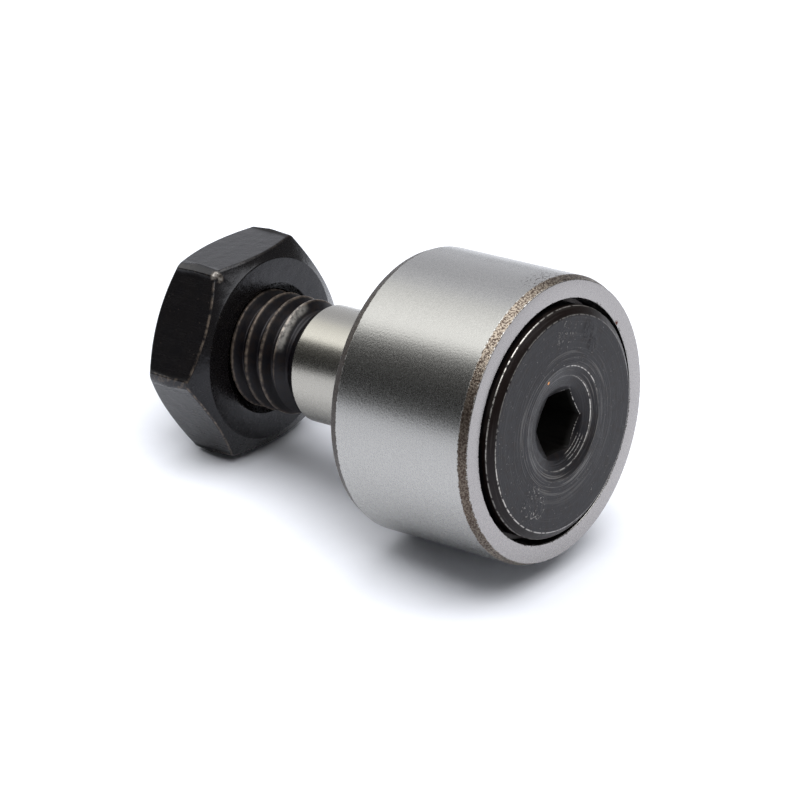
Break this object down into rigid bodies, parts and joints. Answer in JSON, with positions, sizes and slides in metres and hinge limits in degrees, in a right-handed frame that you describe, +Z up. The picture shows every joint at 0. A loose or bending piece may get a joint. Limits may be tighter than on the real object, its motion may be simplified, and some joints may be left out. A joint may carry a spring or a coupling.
{
  "type": "cam follower",
  "caption": "Stud-type cam follower: a thick-walled steel roller on caged needles around a threaded stud with a hex-socket disc head and a thin hexagon nut.",
  "frame": {"origin": "on the stud axis at the outer face of the side plate, the shoulder that is clamped to the machine", "axes": "+Y along the stud towards the thread, -Y out of the head, +Z up with two flats of the nut level, +X to the right looking along +Y"},
  "size_m": [0.019, 0.0322, 0.019],
  "materials": {
    "ground_bearing_steel": "ground",
    "black_oxide_steel": "black oxide",
    "black_oxide_nut": "black oxide",
    "plate_steel": "black oxide",
    "cage_steel": "satin",
    "needle_steel": "lapped"
  },
  "bodies": {
    "stud": {"stud": "black_oxide_steel", "side_plate": "plate_steel"},
    "roller": {"outer_ring": "ground_bearing_steel"},
    "cage": {"needle_cage": "cage_steel"},
    "nut": {"hex_nut": "black_oxide_nut"},
    "needle_01": {"needle_01": "needle_steel"},
    "needle_02": {"needle_02": "needle_steel"},
    "needle_03": {"needle_03": "needle_steel"},
    "needle_04": {"needle_04": "needle_steel"},
    "needle_05": {"needle_05": "needle_steel"},
    "needle_06": {"needle_06": "needle_steel"},
    "needle_07": {"needle_07": "needle_steel"},
    "needle_08": {"needle_08": "needle_steel"},
    "needle_09": {"needle_09": "needle_steel"},
    "needle_10": {"needle_10": "needle_steel"},
    "needle_11": {"needle_11": "needle_steel"},
    "needle_12": {"needle_12": "needle_steel"},
    "needle_13": {"needle_13": "needle_steel"},
    "needle_14": {"needle_14": "needle_steel"},
    "needle_15": {"needle_15": "needle_steel"}
  },
  "joints": [
    {"name": "roller_spin", "type": "hinge", "parent": "stud", "child": "roller", "pos_m": [0, -0.0061, 0], "axis": [0, 1, 0], "continuous": true},
    {"name": "cage_spin", "type": "hinge", "parent": "stud", "child": "cage", "pos_m": [0, -0.0061, 0], "axis": [0, 1, 0], "continuous": true},
    {"name": "nut_travel", "type": "slide", "parent": "stud", "child": "nut", "axis": [0, 1, 0], "range_m": [-0.00375, 0.0125]},
    {"name": "needle_01_roll", "type": "hinge", "parent": "cage", "child": "needle_01", "pos_m": [0, -0.0061, 0.00575], "axis": [0, 1, 0], "continuous": true},
    {"name": "needle_02_roll", "type": "hinge", "parent": "cage", "child": "needle_02", "pos_m": [-0.00234, -0.0061, 0.00525], "axis": [0, 1, 0], "continuous": true},
    {"name": "needle_03_roll", "type": "hinge", "parent": "cage", "child": "needle_03", "pos_m": [-0.00427, -0.0061, 0.00385], "axis": [0, 1, 0], "continuous": true},
    {"name": "needle_04_roll", "type": "hinge", "parent": "cage", "child": "needle_04", "pos_m": [-0.00547, -0.0061, 0.00178], "axis": [0, 1, 0], "continuous": true},
    {"name": "needle_05_roll", "type": "hinge", "parent": "cage", "child": "needle_05", "pos_m": [-0.00572, -0.0061, -0.0006], "axis": [0, 1, 0], "continuous": true},
    {"name": "needle_06_roll", "type": "hinge", "parent": "cage", "child": "needle_06", "pos_m": [-0.00498, -0.0061, -0.00287], "axis": [0, 1, 0], "continuous": true},
    {"name": "needle_07_roll", "type": "hinge", "parent": "cage", "child": "needle_07", "pos_m": [-0.00338, -0.0061, -0.00465], "axis": [0, 1, 0], "continuous": true},
    {"name": "needle_08_roll", "type": "hinge", "parent": "cage", "child": "needle_08", "pos_m": [-0.0012, -0.0061, -0.00562], "axis": [0, 1, 0], "continuous": true},
    {"name": "needle_09_roll", "type": "hinge", "parent": "cage", "child": "needle_09", "pos_m": [0.0012, -0.0061, -0.00562], "axis": [0, 1, 0], "continuous": true},
    {"name": "needle_10_roll", "type": "hinge", "parent": "cage", "child": "needle_10", "pos_m": [0.00338, -0.0061, -0.00465], "axis": [0, 1, 0], "continuous": true},
    {"name": "needle_11_roll", "type": "hinge", "parent": "cage", "child": "needle_11", "pos_m": [0.00498, -0.0061, -0.00287], "axis": [0, 1, 0], "continuous": true},
    {"name": "needle_12_roll", "type": "hinge", "parent": "cage", "child": "needle_12", "pos_m": [0.00572, -0.0061, -0.0006], "axis": [0, 1, 0], "continuous": true},
    {"name": "needle_13_roll", "type": "hinge", "parent": "cage", "child": "needle_13", "pos_m": [0.00547, -0.0061, 0.00178], "axis": [0, 1, 0], "continuous": true},
    {"name": "needle_14_roll", "type": "hinge", "parent": "cage", "child": "needle_14", "pos_m": [0.00427, -0.0061, 0.00385], "axis": [0, 1, 0], "continuous": true},
    {"name": "needle_15_roll", "type": "hinge", "parent": "cage", "child": "needle_15", "pos_m": [0.00234, -0.0061, 0.00525], "axis": [0, 1, 0], "continuous": true}
  ],
  "couplings": [
    {"joint": "cage_spin", "follows": "roller_spin", "ratio": 0.56522},
    {"joint": "needle_01_roll", "follows": "roller_spin", "ratio": 3.7681},
    {"joint": "needle_02_roll", "follows": "roller_spin", "ratio": 3.7681},
    {"joint": "needle_03_roll", "follows": "roller_spin", "ratio": 3.7681},
    {"joint": "needle_04_roll", "follows": "roller_spin", "ratio": 3.7681},
    {"joint": "needle_05_roll", "follows": "roller_spin", "ratio": 3.7681},
    {"joint": "needle_06_roll", "follows": "roller_spin", "ratio": 3.7681},
    {"joint": "needle_07_roll", "follows": "roller_spin", "ratio": 3.7681},
    {"joint": "needle_08_roll", "follows": "roller_spin", "ratio": 3.7681},
    {"joint": "needle_09_roll", "follows": "roller_spin", "ratio": 3.7681},
    {"joint": "needle_10_roll", "follows": "roller_spin", "ratio": 3.7681},
    {"joint": "needle_11_roll", "follows": "roller_spin", "ratio": 3.7681},
    {"joint": "needle_12_roll", "follows": "roller_spin", "ratio": 3.7681},
    {"joint": "needle_13_roll", "follows": "roller_spin", "ratio": 3.7681},
    {"joint": "needle_14_roll", "follows": "roller_spin", "ratio": 3.7681},
    {"joint": "needle_15_roll", "follows": "roller_spin", "ratio": 3.7681}
  ]
}
